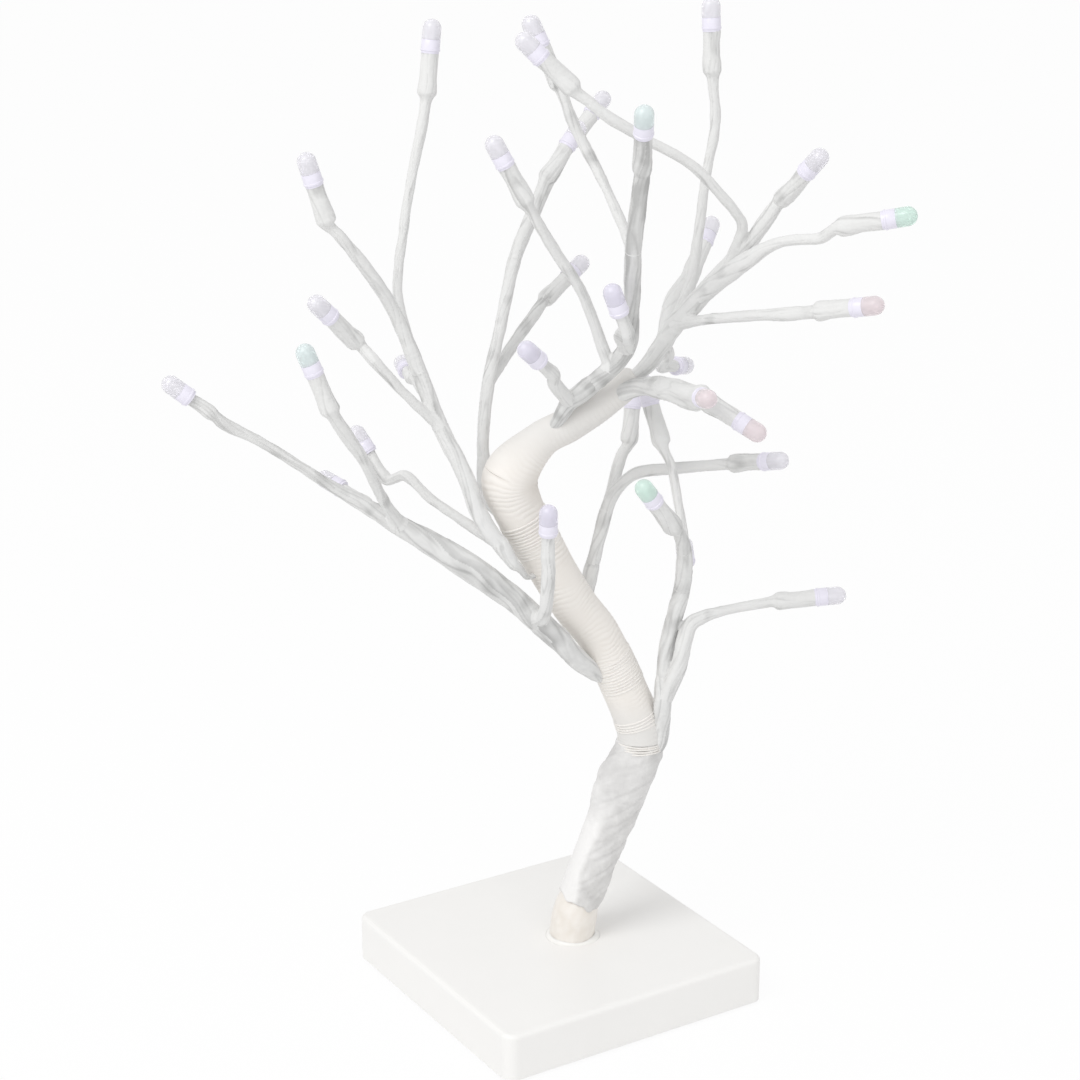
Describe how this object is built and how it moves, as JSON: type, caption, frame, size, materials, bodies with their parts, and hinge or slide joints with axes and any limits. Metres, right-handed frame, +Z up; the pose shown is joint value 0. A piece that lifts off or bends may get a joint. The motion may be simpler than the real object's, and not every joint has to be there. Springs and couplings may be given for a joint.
{
  "type": "artificial led bonsai tree",
  "caption": "Table-top artificial bonsai: a bent, tape-wrapped trunk with bendable twigs that end in bullet lamps, on a square battery base with a hinged door.",
  "frame": {"origin": "middle of the face that the base stands on", "axes": "+Z up; the base's sides lie along X and Y, the switch is on the +Y side"},
  "size_m": [0.2361, 0.1989, 0.391],
  "materials": {
    "white_plastic": "satin",
    "cover_plastic": "satin",
    "pad_foam": "matte",
    "screw_steel": "zinc plated",
    "cell_jacket": "plain jacket",
    "contact_metal": "nickel plated",
    "board_laminate": "satin",
    "black_plastic": "matte",
    "lead_insulation": "satin",
    "wire_metal": "enamelled",
    "core_paper": "matte",
    "glue": "gloss",
    "grey_tape": "crepe",
    "cream_tape": "crepe",
    "branch_tape": "crepe",
    "thread": "matte",
    "collar_plastic": "gloss",
    "cap_plastic": "gloss, translucent"
  },
  "bodies": {
    "base": {"base_housing": "white_plastic", "base_cover": "cover_plastic", "anti_slip_pad": "pad_foam", "cover_screws": "screw_steel", "board_screws": "screw_steel", "set_screws": "screw_steel", "battery_cells": "cell_jacket", "battery_springs": "contact_metal", "contact_plates": "contact_metal", "circuit_board": "board_laminate", "board_components": "black_plastic", "switch_body": "black_plastic", "supply_leads": "lead_insulation", "trunk_leads": "lead_insulation", "trunk_core": "core_paper", "trunk_wires": "wire_metal", "glue_fillet": "glue", "lower_wrap": "grey_tape", "middle_wrap": "cream_tape", "upper_wrap": "cream_tape", "ankle_binding": "thread", "waist_binding": "thread", "elbow_binding": "thread", "crook_binding": "thread", "branch_roots": "branch_tape"},
    "battery_door": {"battery_door": "cover_plastic"},
    "switch_knob": {"switch_knob": "black_plastic"},
    "low_left_branch": {"low_left_wrap": "branch_tape", "low_left_wires": "wire_metal", "low_left_leds": "collar_plastic", "low_left_caps": "cap_plastic"},
    "mid_left_branch": {"mid_left_wrap": "branch_tape", "mid_left_wires": "wire_metal", "mid_left_leds": "collar_plastic", "mid_left_caps": "cap_plastic"},
    "upper_left_branch": {"upper_left_wrap": "branch_tape", "upper_left_wires": "wire_metal", "upper_left_leds": "collar_plastic", "upper_left_caps": "cap_plastic"},
    "crown_top_branch": {"crown_top_wrap": "branch_tape", "crown_top_wires": "wire_metal", "crown_top_leds": "collar_plastic", "crown_top_caps": "cap_plastic"},
    "crown_right_branch": {"crown_right_wrap": "branch_tape", "crown_right_wires": "wire_metal", "crown_right_leds": "collar_plastic", "crown_right_caps": "cap_plastic"},
    "crown_front_branch": {"crown_front_wrap": "branch_tape", "crown_front_wires": "wire_metal", "crown_front_leds": "collar_plastic", "crown_front_caps": "cap_plastic"},
    "rear_branch": {"rear_wrap": "branch_tape", "rear_wires": "wire_metal", "rear_leds": "collar_plastic", "rear_caps": "cap_plastic"},
    "low_right_branch": {"low_right_wrap": "branch_tape", "low_right_wires": "wire_metal", "low_right_leds": "collar_plastic", "low_right_caps": "cap_plastic"}
  },
  "joints": [
    {"name": "low_left_bend", "type": "hinge", "parent": "base", "child": "low_left_branch", "pos_m": [-0.0053, -0.00848, 0.152], "axis": [0, 0, 1], "range_deg": [-12, 12]},
    {"name": "mid_left_bend", "type": "hinge", "parent": "base", "child": "mid_left_branch", "pos_m": [-0.02184, -0.00286, 0.184], "axis": [0, 0, 1], "range_deg": [-12, 12]},
    {"name": "upper_left_bend", "type": "hinge", "parent": "base", "child": "upper_left_branch", "pos_m": [-0.01898, 0.02247, 0.208], "axis": [0, 0, 1], "range_deg": [-20, 20]},
    {"name": "crown_top_bend", "type": "hinge", "parent": "base", "child": "crown_top_branch", "pos_m": [-0.00085, -0.0089, 0.246], "axis": [0, 0, 1], "range_deg": [-15, 15]},
    {"name": "crown_right_bend", "type": "hinge", "parent": "base", "child": "crown_right_branch", "pos_m": [0.03021, -0.0177, 0.26], "axis": [0, 0, 1], "range_deg": [-15, 15]},
    {"name": "crown_front_bend", "type": "hinge", "parent": "base", "child": "crown_front_branch", "pos_m": [0.02375, -0.02427, 0.252], "axis": [0, 0, 1], "range_deg": [-25, 25]},
    {"name": "rear_bend", "type": "hinge", "parent": "base", "child": "rear_branch", "pos_m": [0.01675, 0.00604, 0.163], "axis": [0, 0, 1], "range_deg": [-15, 15]},
    {"name": "low_right_bend", "type": "hinge", "parent": "base", "child": "low_right_branch", "pos_m": [0.03477, -0.02173, 0.121], "axis": [0, 0, 1], "range_deg": [-15, 15]},
    {"name": "battery_door_hinge", "type": "hinge", "parent": "base", "child": "battery_door", "pos_m": [0.0146, 0.0325, 0.0026], "axis": [0, -1, 0], "range_deg": [0, 90]},
    {"name": "switch_slide", "type": "slide", "parent": "base", "child": "switch_knob", "axis": [1, 0, 0], "range_m": [-0.002, 0.002]}
  ]
}
